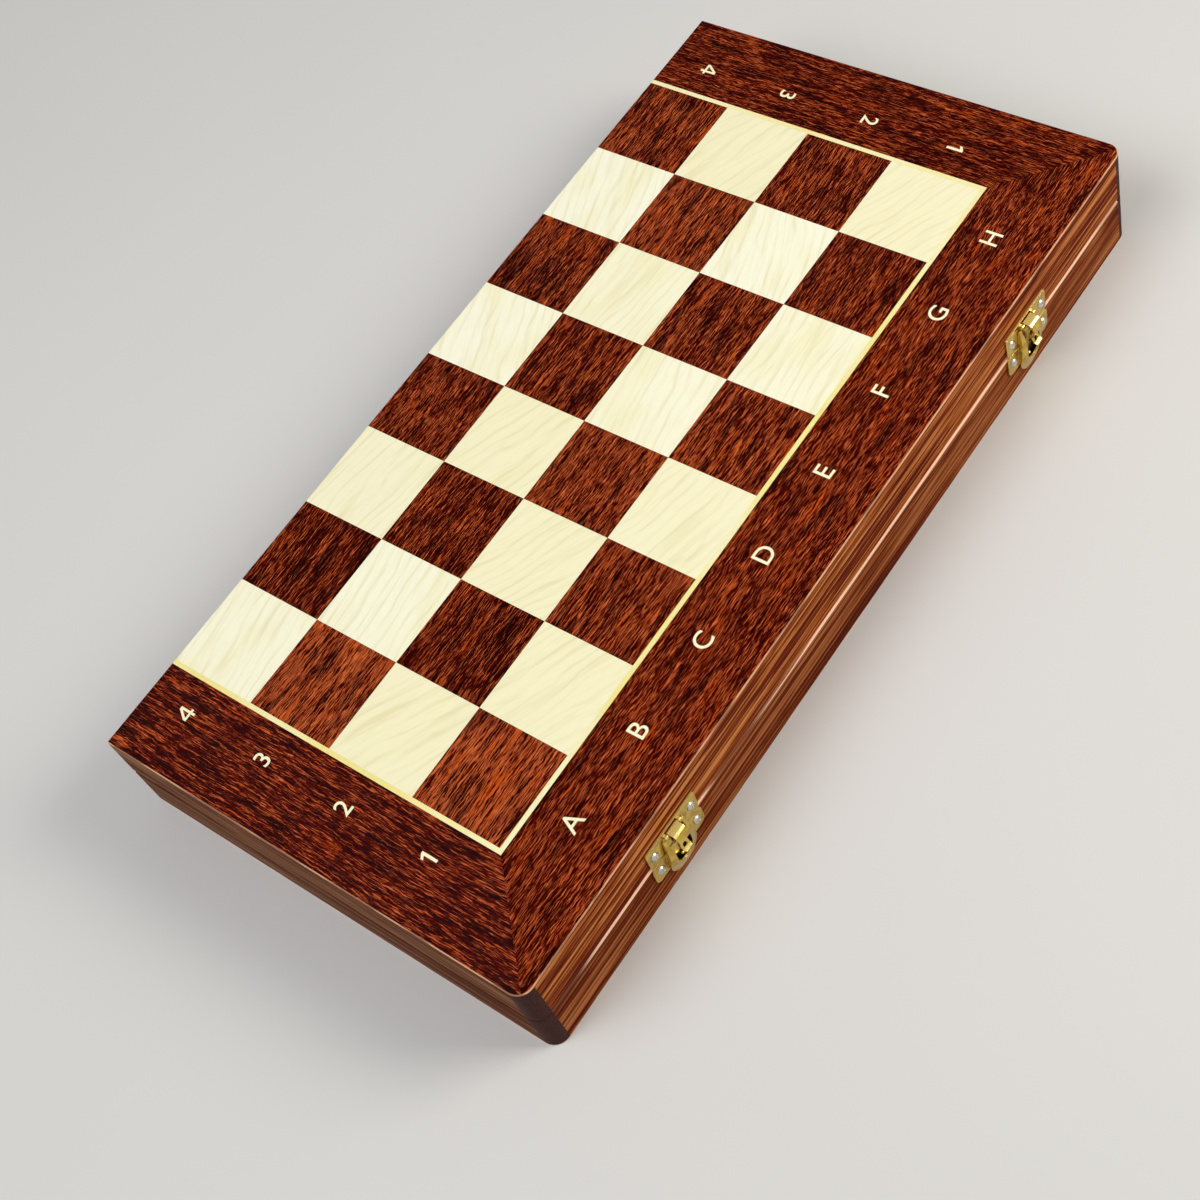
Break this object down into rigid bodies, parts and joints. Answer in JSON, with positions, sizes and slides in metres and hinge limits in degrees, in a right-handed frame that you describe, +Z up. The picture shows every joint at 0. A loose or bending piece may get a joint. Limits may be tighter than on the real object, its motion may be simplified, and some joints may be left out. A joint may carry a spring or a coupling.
{
  "type": "folding chess case",
  "caption": "Folding wooden chess case of two hinged half trays with an inlaid board on the outer faces, brass catches and fluted inserts for the men.",
  "frame": {"origin": "centre of the resting face, under the middle of the closed case", "axes": "+X along the case to the right as seen from the catches, +Y from the catches to the hinges, +Z up"},
  "size_m": [0.49, 0.255, 0.057],
  "materials": {
    "long_rail": "stained and lacquered, satin",
    "end_rail": "stained and lacquered, satin",
    "plywood": "raw sanded",
    "border_veneer": "lacquered, satin",
    "line_veneer": "lacquered, satin",
    "dark_veneer": "lacquered, satin",
    "light_veneer": "lacquered, satin",
    "velour": "short pile flock",
    "hinge_brass": "polished",
    "catch_brass": "polished",
    "screw_steel": "bright"
  },
  "bodies": {
    "lower_half": {"lower_front_rail": "long_rail", "lower_back_rail": "long_rail", "lower_left_rail": "end_rail", "lower_right_rail": "end_rail", "lower_panel": "plywood", "lower_border_front": "border_veneer", "lower_border_left": "border_veneer", "lower_border_right": "border_veneer", "lower_line": "line_veneer", "lower_dark_squares": "dark_veneer", "lower_light_squares": "light_veneer", "lower_insert": "velour", "left_hinge_lower_leaf": "hinge_brass", "left_hinge_pin": "hinge_brass", "right_hinge_lower_leaf": "hinge_brass", "right_hinge_pin": "hinge_brass", "lower_hinge_screws": "screw_steel", "left_catch_shield": "catch_brass", "right_catch_shield": "catch_brass", "lower_catch_screws": "screw_steel"},
    "upper_half": {"upper_front_rail": "long_rail", "upper_back_rail": "long_rail", "upper_left_rail": "end_rail", "upper_right_rail": "end_rail", "upper_panel": "plywood", "upper_border_front": "border_veneer", "upper_border_left": "border_veneer", "upper_border_right": "border_veneer", "upper_line": "line_veneer", "upper_dark_squares": "dark_veneer", "upper_light_squares": "light_veneer", "upper_insert": "velour", "left_hinge_upper_leaf": "hinge_brass", "right_hinge_upper_leaf": "hinge_brass", "upper_hinge_screws": "screw_steel", "left_catch_top_plate": "catch_brass", "left_catch_pin": "catch_brass", "right_catch_top_plate": "catch_brass", "right_catch_pin": "catch_brass", "upper_catch_screws": "screw_steel"},
    "left_strap": {"left_catch_strap": "catch_brass"},
    "right_strap": {"right_catch_strap": "catch_brass"}
  },
  "joints": [
    {"name": "lid_turn", "type": "hinge", "parent": "lower_half", "child": "upper_half", "pos_m": [0, 0.12265, 0.0285], "axis": [-1, 0, 0], "range_deg": [0, 180]},
    {"name": "left_strap_turn", "type": "hinge", "parent": "upper_half", "child": "left_strap", "pos_m": [-0.148, -0.1245, 0.0391], "axis": [-1, 0, 0], "range_deg": [0, 70]},
    {"name": "right_strap_turn", "type": "hinge", "parent": "upper_half", "child": "right_strap", "pos_m": [0.148, -0.1245, 0.0391], "axis": [-1, 0, 0], "range_deg": [0, 70]}
  ]
}
